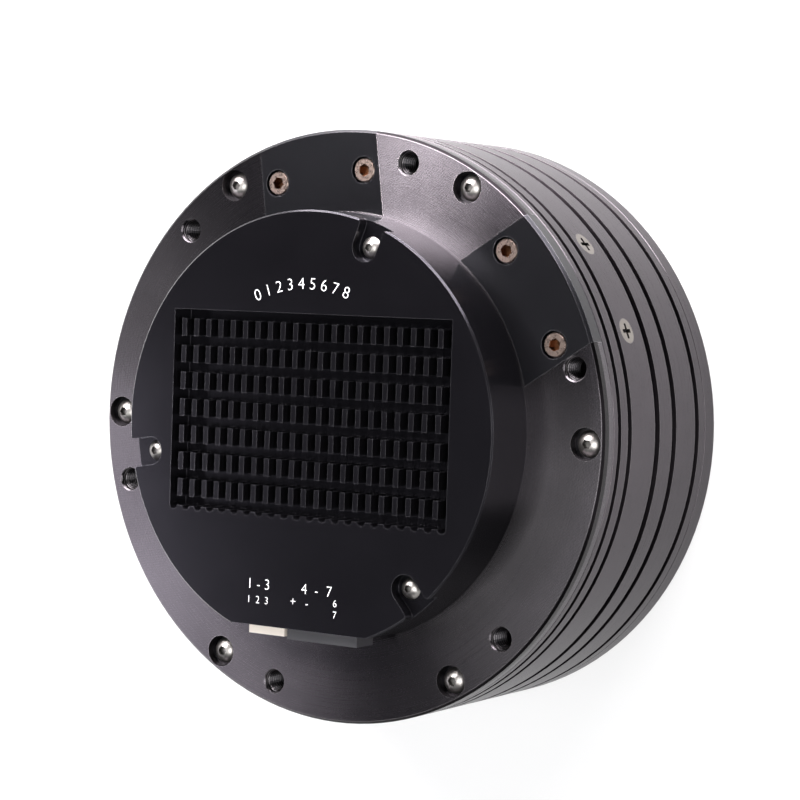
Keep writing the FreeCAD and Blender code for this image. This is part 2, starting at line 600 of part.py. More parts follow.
# ---------------------------------------------------------------- motor
def stator_core():
    """Laminated ring with slots open towards the rotor and blind holes for the side screws."""
    inner, outer = STATOR_R_IN + TOOTH_TIP, BORE_R - BACK_IRON
    half_in = math.pi * inner / SLOTS - TOOTH_W / 2.0
    half_out = math.pi * outer / SLOTS - TOOTH_W / 2.0
    slot = prism([(inner, -half_in), (outer, -half_out), (outer, half_out), (inner, half_in)],
                 STATOR_Z - 1, STATOR_TOP + 1)
    half = SLOT_OPENING / 2.0
    opening = box(STATOR_R_IN - 1, inner + 0.5, -half, half, STATOR_Z - 1, STATOR_TOP + 1)
    slot = slot.fuse(opening)
    cuts = [turn(slot, a) for a in steps(SLOTS, 180.0 / SLOTS)]
    hole = screw_hole(M25_BUTTON, STATOR_SCREW_LEN, BARREL_R)
    cuts += [radial(hole, STATOR_SCREW_Z, a) for a in STATOR_SCREW_ANGLES]
    return cut_all(ring(BORE_R, STATOR_R_IN, STATOR_Z, STATOR_TOP), cuts)


def windings():
    """One coil around each tooth, as a rounded rectangular loop."""
    r0, r1, inner, outer = COIL_R_IN, COIL_R_OUT, COIL_HALF_IN, COIL_HALF_OUT
    hollow = box(r0 - 1, r1 + 1, -inner, inner, STATOR_Z - COIL_GAP, STATOR_TOP + COIL_GAP)
    coil = box(r0, r1, -outer, outer, STATOR_Z - COIL_OVERHANG, STATOR_TOP + COIL_OVERHANG)
    corners = [e for e in coil.Edges if abs(e.Length - (r1 - r0)) < 0.01 and abs(e.Vertexes[0].Y) > inner]
    coil = coil.makeFillet(COIL_OVERHANG - 3 * COIL_GAP, corners).cut(hollow)
    return [turn(coil, a) for a in steps(SLOTS)]


def phase_lead(angle):
    """Wire from an end turn: inwards over the rotor, round a bend, and up to the driver board."""
    z = STATOR_TOP + COIL_OVERHANG - LEAD_R + COIL_GAP
    corner = LEAD_PCR + LEAD_BEND
    run = Part.makeCylinder(LEAD_R, COIL_R_IN - corner, V(corner, 0, z), V(1, 0, 0))
    circle = Part.Face(Part.Wire(Part.makeCircle(LEAD_R, V(corner, 0, z), V(1, 0, 0))))
    bend = circle.revolve(V(corner, 0, z + LEAD_BEND), V(0, 1, 0), 90)
    rise = Part.makeCylinder(LEAD_R, BOARD_Z - z - LEAD_BEND, V(LEAD_PCR, 0, z + LEAD_BEND))
    return turn(run.fuse([bend, rise]), angle)


def rotor_hub():
    """Light-alloy spider: sleeve on the shaft, web with round windows, rim under the yoke."""
    sleeve_r = SHAFT_R + HUB_SLEEVE_T
    sleeve_z, sleeve_top = FRONT_BEARING_TOP + SLEEVE_GAPS[0], REAR_BEARING_Z - SLEEVE_GAPS[1]
    rim_r = HUB_R - HUB_RIM_T
    outline = [(SHAFT_R, sleeve_z), (sleeve_r, sleeve_z), (sleeve_r, HUB_WEB_Z), (rim_r, HUB_WEB_Z),
               (rim_r, STATOR_Z), (HUB_R, STATOR_Z), (HUB_R, STATOR_TOP), (rim_r, STATOR_TOP),
               (rim_r, HUB_WEB_TOP), (sleeve_r, HUB_WEB_TOP), (sleeve_r, sleeve_top), (SHAFT_R, sleeve_top)]
    middle, window_r = (rim_r + sleeve_r) / 2.0, HUB_WINDOW_SHARE * (rim_r - sleeve_r) / 2.0
    cuts = [post(window_r, HUB_WEB_Z - 1, HUB_WEB_TOP + 1, a, middle) for a in steps(HUB_WINDOWS)]
    return cut_all(turned(outline), cuts)


def magnets():
    """Arc magnets on the yoke, one per pole."""
    space = math.degrees(MAGNET_SPACE / MAGNET_R)
    arc = 360.0 / POLES - space
    outline = [(YOKE_R, STATOR_Z), (MAGNET_R, STATOR_Z), (MAGNET_R, STATOR_TOP), (YOKE_R, STATOR_TOP)]
    return [turn(turned(outline, arc), a) for a in steps(POLES)]


def sun_shaft():
    """Pinion and rotor shaft in one piece, with a pocket for the encoder magnet."""
    pinion_z = GEAR_Z + 3 * AXIAL_GAP
    neck = MODULE * (SUN_TEETH / 2.0 + ADDENDUM) + NECK_STEP
    seat_r, nose = FRONT_BEARING[0], ENCODER_R + ENCODER_WALL
    end = ENCODER_TOP - ENCODER_SINK
    outline = [(0, PINION_TOP), (neck, PINION_TOP), (neck, FRONT_BEARING_Z), (seat_r, FRONT_BEARING_Z),
               (seat_r, FRONT_BEARING_TOP), (SHAFT_R, FRONT_BEARING_TOP), (SHAFT_R, REAR_BEARING_Z),
               (REAR_BEARING[0], REAR_BEARING_Z), (REAR_BEARING[0], REAR_BEARING_TOP),
               (nose, REAR_BEARING_TOP), (nose, end), (0, end)]
    shaft = turned(outline).cut(disc(ENCODER_R, ENCODER_TOP - ENCODER_T, end + 1))
    return shaft.fuse(spur_gear(SUN_TEETH, 0.0, pinion_z, PINION_TOP)).removeSplitter()


# ---------------------------------------------------------------- gear stage
def planet_first_angle(angle):
    """Angle of the planet's first tooth that meshes with the sun, whose own first tooth is at 0."""
    sun_phase = angle * SUN_TEETH / 360.0
    return angle + 180.0 - (0.5 - sun_phase) * 360.0 / PLANET_TEETH


def planet_gear(angle):
    centre = polar(CENTRE_DISTANCE, angle)
    z0, z1 = PLANET_Z, PLANET_Z + PLANET_FACE
    gear = spur_gear(PLANET_TEETH, planet_first_angle(angle), z0, z1)
    web_r = (PLANET_BORE_R + MODULE * (PLANET_TEETH / 2.0 - DEDENDUM)) / 2.0
    cuts = [disc(PLANET_BORE_R, z0 - 1, z1 + 1)]
    cuts += [post(PLANET_HOLE_R, z0 - 1, z1 + 1, a, web_r) for a in steps(PLANET_HOLES)]
    gear = cut_all(gear, cuts)
    gear.translate(centre)
    return gear


def planet_bush(angle):
    bush = ring(PLANET_BORE_R, PIN_R + BUSH_RUN_GAP, GEAR_Z + AXIAL_GAP, CARRIER_Z - AXIAL_GAP)
    bush.translate(polar(CENTRE_DISTANCE, angle))
    return bush


def ring_gear():
    """Internal gear; its sleeve clamps the outer race and its rear flange bolts to the gear casing."""
    outer, spigot, blank_r = RACE_R_OUT - RING_FIT_GAP, BORE_R - SPIGOT_GAP, RING_TIP_R - 1
    sleeve, rim = outer - CLAMP_SLEEVE_T, RING_ROOT_R + RING_WALL
    floor, front = CASE_SPIGOT_Z - RING_RELIEF, GEAR_Z + RING_FACE_GAP
    blank = turned([(blank_r, front), (rim, front), (rim, floor), (sleeve, floor), (sleeve, RACE_TOP),
                    (outer, RACE_TOP), (outer, CASE_SPIGOT_Z), (spigot, CASE_SPIGOT_Z),
                    (spigot, RING_GEAR_TOP), (blank_r, RING_GEAR_TOP)])
    space = gear_outline(RING_TEETH, DEDENDUM * MODULE, ADDENDUM * MODULE, -FLANK_GAP, 180.0 / RING_TEETH)
    gear = blank.cut(prism(space, front - 1, RING_GEAR_TOP + 1))
    seat = flat_seat(M25_BUTTON[0], RING_SCREW_HEAD_R, RING_SCREW_LEN, RING_GEAR_TOP)
    return cut_all(gear, [place(seat, RING_SCREW_PCR, a) for a in steps(RING_SCREWS)])


def output_flange():
    """Driven plate: bolt circle, dowels and pilot in front; seats for pins and carrier behind."""
    front, seat, edge, p = OUTPUT_RECESS, LIP_T, OUTPUT_EDGE, PILOT_CHAMFER
    outline = [(0, front + PILOT_DEPTH), (PILOT_R, front + PILOT_DEPTH), (PILOT_R, front + p),
               (PILOT_R + p, front), (OUTPUT_LIP_R - edge, front), (OUTPUT_LIP_R, front + edge),
               (OUTPUT_LIP_R, seat), (RACE_R_IN, seat), (RACE_R_IN, RACE_TOP), (HUB_STEP_R, RACE_TOP),
               (HUB_STEP_R, GEAR_Z), (0, GEAR_Z)]
    r, c = OUTPUT_HOLE_R, MOUNT_CHAMFER
    hole = turned([(0, front - 1), (r + c, front - 1), (r + c, front), (r, front + c),
                   (r, front + OUTPUT_HOLE_DEPTH), (0, front + OUTPUT_HOLE_DEPTH)])
    cuts = [place(hole, OUTPUT_HOLE_PCR, a) for a in steps(OUTPUT_HOLES)]
    cuts += [post(DOWEL_R, front - 1, front + DOWEL_DEPTH, a, DOWEL_PCR) for a in DOWEL_ANGLES]
    cuts += [post(PIN_R, PIN_Z, GEAR_Z + 1, a, CENTRE_DISTANCE) for a in PLANET_ANGLES]
    thread = screw_hole(M25_BUTTON, CARRIER_SCREW_BITE + 1, GEAR_Z + 1)
    cuts += [place(thread, PILLAR_PCR, a) for a in pillar_angles()]
    small = screw_hole(M2_BUTTON, RETAINER_SCREW_LEN - RETAINER_T + 1, RACE_TOP + 0.5)
    cuts += [place(small, RETAINER_SCREW_PCR, a) for a in retainer_angles()]
    return cut_all(turned(outline), cuts)


def bearing_retainer():
    """Ring that clamps the inner race against the output flange."""
    blank = ring(RACE_R_IN + RETAINER_REACH, HUB_STEP_R + SCREW_GAP, RACE_TOP, GEAR_Z)
    seat = flat_seat(M2_BUTTON[0], M2_FLAT_R, RETAINER_T + 1, GEAR_Z)
    return cut_all(blank, [place(seat, RETAINER_SCREW_PCR, a) for a in retainer_angles()])


def retainer_angles():
    return steps(RETAINER_SCREWS, RETAINER_SCREW_ANGLE)


def pillar_angles():
    return [a + PILLAR_TURN for a in PLANET_ANGLES]


def carrier_plate():
    """Plate behind the planets with three pillars and the hub of the front rotor bearing."""
    bore = FRONT_BEARING[1]
    hub_r, lip = bore + BEARING_HOUSING, bore - BEARING_SHOULDER
    outline = [(lip, CARRIER_Z), (CARRIER_R, CARRIER_Z), (CARRIER_R, CARRIER_TOP), (hub_r, CARRIER_TOP),
               (hub_r, FRONT_BEARING_TOP), (bore, FRONT_BEARING_TOP), (bore, FRONT_BEARING_Z),
               (lip, FRONT_BEARING_Z)]
    pillars = [post(PILLAR_R, GEAR_Z, CARRIER_Z + 0.5, a, PILLAR_PCR) for a in pillar_angles()]
    plate = turned(outline).fuse(pillars).removeSplitter()
    cuts = [post(PIN_R, CARRIER_Z - 1, CARRIER_TOP + 1, a, CENTRE_DISTANCE) for a in PLANET_ANGLES]
    seat = flat_seat(M25_BUTTON[0], M25_FLAT_R, CARRIER_TOP - GEAR_Z + 1, CARRIER_TOP)
    cuts += [place(seat, PILLAR_PCR, a) for a in pillar_angles()]
    return cut_all(plate, cuts)


# ---------------------------------------------------------------- bearings
def roller_race(outer):
    """Race of the crossed roller bearing with its right-angled groove."""
    z0, z1 = LIP_T, RACE_TOP
    middle = (z0 + z1) / 2.0
    side = 1 if outer else -1
    face = ROLLER_PCR + side * RACE_SPLIT
    tip = ROLLER_PCR + side * (ROLLER_D / 2.0 + ROLLER_GAP) * math.sqrt(2.0)
    half = abs(tip - face)
    back = RACE_R_OUT if outer else RACE_R_IN
    return turned([(face, z0), (face, middle - half), (tip, middle), (face, middle + half), (face, z1),
                   (back, z1), (back, z0)])


def crossed_rollers():
    """Rollers lie at 45 degrees, each at a right angle to the next."""
    middle = LIP_T + OUT_BEARING_W / 2.0
    half, edge = ROLLER_D / 2.0, ROLLER_EDGE
    bodies = []
    for i, angle in enumerate(steps(ROLLERS)):
        lean = 45 if i % 2 else -45
        roller = turned([(0, -half), (half - edge, -half), (half, edge - half), (half, half - edge),
                         (half - edge, half), (0, half)])
        roller.rotate(V(0, 0, 0), V(0, 1, 0), lean)
        roller.translate(V(ROLLER_PCR, 0, middle))
        bodies.append(turn(roller, angle))
    return bodies


def roller_spacers():
    middle = LIP_T + OUT_BEARING_W / 2.0
    half = ROLLER_D / 2.0 - SPACER_GAP
    length = 2 * math.pi * ROLLER_PCR / ROLLERS - ROLLER_D - SPACER_GAP
    block = box(-half, half, -length / 2.0, length / 2.0, -half, half)
    block.rotate(V(0, 0, 0), V(0, 1, 0), 45)
    block.translate(V(ROLLER_PCR, 0, middle))
    return [turn(block, a) for a in steps(ROLLERS, 180.0 / ROLLERS)]


def ball_race(size, z0, outer):
    bore, rim, width, ball, count = size
    pitch = (bore + rim) / 2.0
    radii = (rim, rim - RACE_WALL) if outer else (bore + RACE_WALL, bore)
    body = ring(*radii, z0, z0 + width)
    return body.cut(Part.makeTorus(pitch, ball + BALL_GAP, V(0, 0, z0 + width / 2.0)))


def balls(size, z0):
    bore, rim, width, ball, count = size
    pitch = (bore + rim) / 2.0
    return [Part.makeSphere(ball, polar(pitch, a, z0 + width / 2.0)) for a in steps(count)]


def ball_cage(size, z0):
    """Crown cage with a pocket round each ball."""
    bore, rim, width, ball, count = size
    pitch = (bore + rim) / 2.0
    half = (rim - bore) / 2.0 - RACE_WALL - CAGE_GAP
    body = ring(pitch + half, pitch - half, z0 + 2 * CAGE_GAP, z0 + width / 2.0 + 2 * CAGE_GAP)
    pockets = [Part.makeSphere(ball + POCKET_GAP, polar(pitch, a, z0 + width / 2.0)) for a in steps(count)]
    return cut_all(body, pockets)


# ---------------------------------------------------------------- electronics
def driver_board():
    z0, z1 = BOARD_Z - 1, BOARD_TOP + 1
    cuts = [box(-COVER_R, COVER_R, -COVER_R, COVER_FLAT_Y + COVER_WALL + BOARD_GAP, z0, z1)]
    cuts += [post(SCREW_BOSS_R + BOARD_GAP, z0, z1, a, COVER_SCREW_PCR) for a in NOTCH_ANGLES]
    cuts += [post(M2_BUTTON[0] + SCREW_GAP, z0, z1, a, BOARD_SCREW_PCR) for a in BOARD_SCREW_ANGLES]
    return cut_all(disc(COVER_R - COVER_WALL - BOARD_GAP, BOARD_Z, BOARD_TOP), cuts)


def connector(size, proud):
    """Board-mounted housing, open towards -Y."""
    x, width, depth, height = size
    y, w, top = COVER_FLAT_Y - proud, CONNECTOR_WALL, BOARD_TOP + height
    body = box(x, x + width, y, y + depth, BOARD_TOP, top)
    return body.cut(box(x + w, x + width - w, y - 1, y + depth - CONNECTOR_BACK, BOARD_TOP + w, top - w))


def connector_pins(size, proud, places, radius):
    x, width, depth, height = size
    start = COVER_FLAT_Y - proud + PIN_SETBACK
    length = depth - PIN_SETBACK - CONNECTOR_BACK
    z = BOARD_TOP + height / 2.0
    return [Part.makeCylinder(radius, length, V(x + p * width, start, z), V(0, 1, 0)) for p in places]


def slab(width, depth, x, y, z0, z1):
    """Box centred on x and y."""
    return box(x - width / 2.0, x + width / 2.0, y - depth / 2.0, y + depth / 2.0, z0, z1)


def transistors():
    first = -TRANSISTOR_PITCH * (TRANSISTORS - 1) / 2.0
    return [slab(*TRANSISTOR_SIZE, first + i * TRANSISTOR_PITCH, TRANSISTOR_Y, BOARD_TOP, BOARD_TOP + CHIP_T)
            for i in range(TRANSISTORS)]


def thermal_pad():
    """Soft pad that fills the space between the transistors and the underside of the fins."""
    width = TRANSISTOR_PITCH * (TRANSISTORS - 1) + TRANSISTOR_SIZE[0] + 2 * PAD_MARGIN
    z = BOARD_TOP + CHIP_T
    return slab(width, TRANSISTOR_SIZE[1] + 2 * PAD_MARGIN, 0, TRANSISTOR_Y, z, z + PAD_T)


def capacitors():
    cans = []
    for angle in CAN_ANGLES:
        can = post(CAN_R, BOARD_TOP, PLATE_Z - BOARD_GAP, angle, COVER_R - CAN_INSET)
        cans.append(can.makeFillet(CAN_EDGE, [can.Edges[0]]))
    return cans


# ---------------------------------------------------------------- write the sub-parts
def casing_parts():
    save("main_housing", [main_housing()])
    save("front_housing", [front_housing()])
    save("rear_flange", [rear_flange()])
    for name, angle in INSET_ANGLES.items():
        save("inset_plate_" + name, [inset_plate(angle)])
    cap = cap_screw(M25_CAP, INSET_SCREW_LEN, RING_Z - INSET_SCREW_SEAT)
    save("inset_screws", [place(cap, INSET_SCREW_PCR, a) for a in inset_screw_angles()])
    button = button_screw(M25_BUTTON, FLANGE_SCREW_LEN, RING_Z - FLANGE_SCREW_SEAT)
    save("flange_screws", [place(button, FLANGE_SCREW_PCR, a) for a in steps(6)])
    front = button_screw(M25_BUTTON, FLANGE_SCREW_LEN, -FLANGE_SCREW_SEAT)
    front.rotate(V(0, 0, 0), V(1, 0, 0), 180)
    save("front_screws", [place(front, FLANGE_SCREW_PCR, a) for a in steps(6, FRONT_SCREW_ANGLE)])
    side = flat_screw(M25_BUTTON[0], M25_FLAT_R, STATOR_SCREW_LEN - TIP_GAP, BARREL_R)
    save("stator_screws", [radial(side, STATOR_SCREW_Z, a) for a in STATOR_SCREW_ANGLES])
    save("rear_cover", [rear_cover()])
    cover_screw = button_screw(M2_BUTTON, PLATE_Z - RING_Z + 1.5, PLATE_Z)
    save("cover_screws", [place(cover_screw, COVER_SCREW_PCR, a) for a in NOTCH_ANGLES])


def motor_parts():
    save("stator_core", [stator_core()])
    save("windings", windings())
    save("phase_leads", [phase_lead(a) for a in LEAD_ANGLES])
    save("rotor_hub", [rotor_hub()])
    save("rotor_yoke", [ring(YOKE_R, HUB_R, STATOR_Z, STATOR_TOP)])
    save("magnets", magnets())
    save("sun_gear_shaft", [sun_shaft()])
    save("encoder_magnet", [disc(ENCODER_R, ENCODER_TOP - ENCODER_T, ENCODER_TOP)])
    save("rear_bearing_outer_race", [ball_race(REAR_BEARING, REAR_BEARING_Z, True)])
    save("rotor_bearing_inner_races", [ball_race(REAR_BEARING, REAR_BEARING_Z, False),
                                       ball_race(FRONT_BEARING, FRONT_BEARING_Z, False)])
    save("rear_bearing_balls", balls(REAR_BEARING, REAR_BEARING_Z))
    save("rear_ball_cage", [ball_cage(REAR_BEARING, REAR_BEARING_Z)])


def gear_parts():
    save("ring_gear", [ring_gear()])
    screw = flat_screw(M25_BUTTON[0], RING_SCREW_HEAD_R, RING_SCREW_LEN - TIP_GAP, RING_GEAR_TOP)
    save("ring_gear_screws", [place(screw, RING_SCREW_PCR, a) for a in steps(RING_SCREWS)])
    for number, angle in enumerate(PLANET_ANGLES, 1):
        save("planet_gear_%d" % number, [planet_gear(angle)])
        save("planet_bush_%d" % number, [planet_bush(angle)])
    save("planet_pins", [post(PIN_R, PIN_Z, CARRIER_TOP, a, CENTRE_DISTANCE) for a in PLANET_ANGLES])
    save("output_flange", [output_flange()])
    save("carrier_plate", [carrier_plate()])
    length = CARRIER_TOP - GEAR_Z + CARRIER_SCREW_BITE - TIP_GAP
    screw = flat_screw(M25_BUTTON[0], M25_FLAT_R, length, CARRIER_TOP)
    save("carrier_screws", [place(screw, PILLAR_PCR, a) for a in pillar_angles()])
    save("bearing_retainer", [bearing_retainer()])
    screw = flat_screw(M2_BUTTON[0], M2_FLAT_R, RETAINER_SCREW_LEN, GEAR_Z)
    save("retainer_screws", [place(screw, RETAINER_SCREW_PCR, a) for a in retainer_angles()])
    save("bearing_outer_race", [roller_race(True)])
    save("bearing_inner_race", [roller_race(False)])
    save("bearing_rollers", crossed_rollers())
    save("roller_spacers", roller_spacers())
    seal = ring(CASING_LIP_R, OUTPUT_LIP_R + SEAL_GAP, OUTPUT_RECESS + SEAL_GAP, LIP_T - AXIAL_GAP)
    save("output_seal", [seal])
    save("front_bearing_outer_race", [ball_race(FRONT_BEARING, FRONT_BEARING_Z, True)])
    save("front_bearing_balls", balls(FRONT_BEARING, FRONT_BEARING_Z))
    save("front_ball_cage", [ball_cage(FRONT_BEARING, FRONT_BEARING_Z)])


def electronic_parts():
    save("driver_board", [driver_board()])
    spacer = ring(BOARD_SPACER_R, M2_BUTTON[0] + SCREW_GAP, RING_Z, BOARD_Z)
    save("board_spacers", [place(spacer, BOARD_SCREW_PCR, a) for a in BOARD_SCREW_ANGLES])
    screw = button_screw(M2_BUTTON, BOARD_T + BOARD_STANDOFF + BOARD_SCREW_BITE, BOARD_TOP)
    save("board_screws", [place(screw, BOARD_SCREW_PCR, a) for a in BOARD_SCREW_ANGLES])
    save("power_transistors", transistors())
    save("thermal_pad", [thermal_pad()])
    chip = slab(CONTROLLER_SIZE, CONTROLLER_SIZE, 0, CONTROLLER_Y, BOARD_TOP, BOARD_TOP + CHIP_T)
    save("controller_chip", [chip])
    save("encoder_chip", [slab(ENCODER_CHIP_SIZE, ENCODER_CHIP_SIZE, 0, 0, CHIP_Z, BOARD_Z)])
    save("capacitors", capacitors())
    save("data_connector", [connector(DATA_CONNECTOR, CONNECTOR_PROUD[0])])
    save("data_pins", connector_pins(DATA_CONNECTOR, CONNECTOR_PROUD[0], (0.24, 0.5, 0.76), DATA_PIN_R))
    save("power_connector", [connector(POWER_CONNECTOR, CONNECTOR_PROUD[1])])
    pins = connector_pins(POWER_CONNECTOR, CONNECTOR_PROUD[1], (0.2, 0.5), POWER_PIN_R)
    pins += connector_pins(POWER_CONNECTOR, CONNECTOR_PROUD[1], (0.76, 0.88), SIGNAL_PIN_R)
    save("power_pins", pins)


os.makedirs("parts", exist_ok=True)
casing_parts()
motor_parts()
gear_parts()
electronic_parts()
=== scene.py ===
import json
import math

import bmesh
import bpy
from mathutils import Matrix, Vector


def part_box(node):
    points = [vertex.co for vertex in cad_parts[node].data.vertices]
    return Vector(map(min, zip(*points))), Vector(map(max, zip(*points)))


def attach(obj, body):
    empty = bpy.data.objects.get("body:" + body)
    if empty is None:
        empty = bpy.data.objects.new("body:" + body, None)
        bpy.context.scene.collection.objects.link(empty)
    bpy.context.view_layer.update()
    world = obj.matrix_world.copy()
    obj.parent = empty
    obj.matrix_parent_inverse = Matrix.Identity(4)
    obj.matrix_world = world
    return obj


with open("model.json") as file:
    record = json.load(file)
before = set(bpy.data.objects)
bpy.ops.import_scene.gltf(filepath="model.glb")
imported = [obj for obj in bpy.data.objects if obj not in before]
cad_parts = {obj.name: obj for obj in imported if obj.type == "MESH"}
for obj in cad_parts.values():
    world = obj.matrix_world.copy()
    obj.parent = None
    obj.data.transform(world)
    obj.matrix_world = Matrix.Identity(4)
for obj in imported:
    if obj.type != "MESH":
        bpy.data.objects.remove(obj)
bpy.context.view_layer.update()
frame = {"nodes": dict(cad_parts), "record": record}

MM = 0.001
NODES = frame["nodes"]
MOUNTS = {m["name"]: m for m in frame["record"]["mounts"]}

# ---------------------------------------------------------------- sizes taken from the frame
RING_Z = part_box("rear_flange")[1].z
COVER_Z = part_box("rear_cover")[1].z
BARREL_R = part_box("front_housing")[1].x

# Tapped holes: coarse M4 thread
THREAD_PITCH = 0.7 * MM
THREAD_DEPTH = 0.36 * MM
THREAD_HALF = 0.44 * THREAD_PITCH    # half of a ridge's width at its foot
THREAD_CREST = 0.06 * THREAD_PITCH   # half of its width at the crest
THREAD_START = 0.52 * MM             # first turn, below the hole's chamfer
THREAD_LENGTH = 6.0 * MM
THREAD_STEPS = 28                    # straight steps in one turn
RUN_OUT = 0.02                       # share of the ridge's height left at its two ends
HOLE_ANGLE = 15.0                    # first mounting hole, both faces
OUTPUT_HOLE_ANGLE = 0.0

# Finishes, in the shaders' millimetres
ARC_CENTRE = (-70.0, 130.0)          # of the face-milling arcs
ARC_PITCH = 0.45
RABBET_SHADE_DEPTH = 0.42                    # of the ring's painted shade band, standing in for a shadowed rabbet, from the barrel's outside
HEAD_SHADE_DEPTH = 0.3                     # painted shade, dark copper-tinted, starts this far below the top of a cap screw
SHEET_PITCH = 0.35                   # of the laminations
WIRE_WAVE = 16.0                     # radians of the windings' ripple in a millimetre

# Finishes, as shares
FLAT_DOT = 0.985                     # cosine between true and rounded normal that counts as flat
EDGE_GAIN = 8.0
HOLLOW_SHADE_POWER = 1.6
FACE_LIMIT = 0.5                     # Z part of a normal that counts as a face and not a wall

# Colour sockets of a Mix node
MIX_A, MIX_B, MIX_OUT = 6, 7, 2

# Printed marks on the cover
INK_LIFT = 0.012 * MM
INK_THICK = 0.006 * MM
INK_THINNING = 0.018                 # of the letter's size, off each side of a stroke
SCALE_R = 25.3 * MM
SCALE_START, SCALE_STEP = 114.5, 5.4     # degrees
SCALE_SIZE = 3.0 * MM

# Studio, in metres
FLOOR_DROP = 0.2 * MM                # floor below the output face
FLOOR_HALF = 6.0
LAMP_TARGET = Vector((0, 0, 0.03))
PALE_BELOW, DARK_ABOVE = 0.2, 0.5    # sines of the elevation where the walls end and the ceiling starts
CAMERA_PLACE = Vector((0.2452, 0.02679, 0.41294))
CAMERA_BACK = Vector((0.5366, 0.03795, 0.84299))
CAMERA_UP = Vector((-0.04775, 0.99875, -0.01457))


# ---------------------------------------------------------------- material helpers
class Shader:
    """One material under construction, with short ways to add and join nodes."""

    def __init__(self, name):
        self.mat = bpy.data.materials.new(name)
        self.mat.use_nodes = True
        self.tree = self.mat.node_tree
        self.bsdf = self.tree.nodes["Principled BSDF"]
        self.out = self.tree.nodes["Material Output"]

    def node(self, kind, **settings):
        """Add a node and change its settings."""
        made = self.tree.nodes.new(kind)
        for key, value in settings.items():
            setattr(made, key, value)
        return made

    def join(self, source, target):
        self.tree.links.new(source, target)

    def math(self, operation, a, b=None, clamp=False):
        """Result of one operation on numbers or sockets."""
        made = self.node("ShaderNodeMath", operation=operation, use_clamp=clamp)
        for socket, value in zip(made.inputs, (a, b)):
            if value is None:
                continue
            if isinstance(value, (int, float)):
                socket.default_value = value
            else:
                self.join(value, socket)
        return made.outputs[0]

    def weighted(self, *pairs):
        """Sum of values, each times its weight."""
        total = None
        for value, weight in pairs:
            part = self.math("MULTIPLY", value, weight)
            total = part if total is None else self.math("ADD", total, part)
        return total

    def coords(self):
        """Object coordinates, in millimetres, with x, y and z on their own."""
        source = self.node("ShaderNodeTexCoord").outputs["Object"]
        scale = self.node("ShaderNodeVectorMath", operation="SCALE")
        scale.inputs["Scale"].default_value = 1.0 / MM
        self.join(source, scale.inputs[0])
        split = self.node("ShaderNodeSeparateXYZ")
        self.join(scale.outputs[0], split.inputs[0])
        return scale.outputs[0], split.outputs[0], split.outputs[1], split.outputs[2]

    def radius(self, x, y, centre=(0.0, 0.0)):
        """Distance from a line along Z."""
        dx = self.math("SUBTRACT", x, centre[0])
        dy = self.math("SUBTRACT", y, centre[1])
        squares = self.math("MULTIPLY", dx, dx), self.math("MULTIPLY", dy, dy)
        return self.math("SQRT", self.math("ADD", *squares))

    def line_noise(self, along, scale, detail):
        """Noise that only varies along one value, as turning or brushing lines do."""
        made = self.node("ShaderNodeTexNoise", noise_dimensions="1D")
        made.inputs["Scale"].default_value = scale
        made.inputs["Detail"].default_value = detail
        self.join(along, made.inputs["W"])
        return made.outputs["Fac"]

    def cloud(self, vector, scale, detail=4.0):
        """Noise that varies every way, as mottled dye, stains and grain do."""
        made = self.node("ShaderNodeTexNoise")
        made.inputs["Scale"].default_value = scale
        made.inputs["Detail"].default_value = detail
        made.inputs["Roughness"].default_value = 0.6
        self.join(vector, made.inputs["Vector"])
        return made.outputs["Fac"]

    def span(self, value, low, high):
        """Map 0..1 to low..high."""
        return self.math("ADD", self.math("MULTIPLY", value, high - low), low)

    def colour_between(self, value, low, high):
        """Base colour from low to high as the value goes from 0 to 1."""
        mix = self.node("ShaderNodeMix", data_type="RGBA")
        mix.inputs[MIX_A].default_value = (*low, 1)
        mix.inputs[MIX_B].default_value = (*high, 1)
        self.join(value, mix.inputs[0])
        self.join(mix.outputs[MIX_OUT], self.bsdf.inputs["Base Color"])

    def roughness(self, value, low, high):
        """Roughness from low to high as the value goes from 0 to 1."""
        self.join(self.span(value, low, high), self.bsdf.inputs["Roughness"])

    def bump(self, height, strength, distance):
        """Relief of a height field, its distance in metres."""
        made = self.node("ShaderNodeBump")
        made.inputs["Strength"].default_value = strength
        made.inputs["Distance"].default_value = distance
        self.join(height, made.inputs["Height"])
        self.join(made.outputs[0], self.bsdf.inputs["Normal"])

    def worn_edges(self, width, colour):
        """Painted highlight: lighter colour along the edges, where a rounded edge would catch the light.
        """
        rounded = self.node("ShaderNodeBevel", samples=4)
        rounded.inputs["Radius"].default_value = width
        plain = self.node("ShaderNodeNewGeometry").outputs["Normal"]
        dot = self.node("ShaderNodeVectorMath", operation="DOT_PRODUCT")
        self.join(rounded.outputs[0], dot.inputs[0])
        self.join(plain, dot.inputs[1])
        past_flat = self.math("SUBTRACT", FLAT_DOT, dot.outputs["Value"])
        edge = self.math("MULTIPLY", past_flat, EDGE_GAIN, clamp=True)
        self.over_colour(edge, colour)

    def dark_hollows(self, reach):
        """Painted shade: darken sockets, slots and grooves as far as they are closed in within the reach.
        """
        shade = self.node("ShaderNodeAmbientOcclusion", samples=24, only_local=True)
        shade.inputs["Distance"].default_value = reach
        open_part = self.math("POWER", shade.outputs["AO"], HOLLOW_SHADE_POWER)
        self.over_colour(self.math("SUBTRACT", 1.0, open_part, clamp=True), (0.01, 0.01, 0.011))

    def over_colour(self, amount, colour):
        """Lay a second colour over the base colour by an amount of 0..1."""
        mix = self.node("ShaderNodeMix", data_type="RGBA")
        self.join(self.bsdf.inputs["Base Color"].links[0].from_socket, mix.inputs[MIX_A])
        mix.inputs[MIX_B].default_value = (*colour, 1)
        self.join(amount, mix.inputs[0])
        self.join(mix.outputs[MIX_OUT], self.bsdf.inputs["Base Color"])

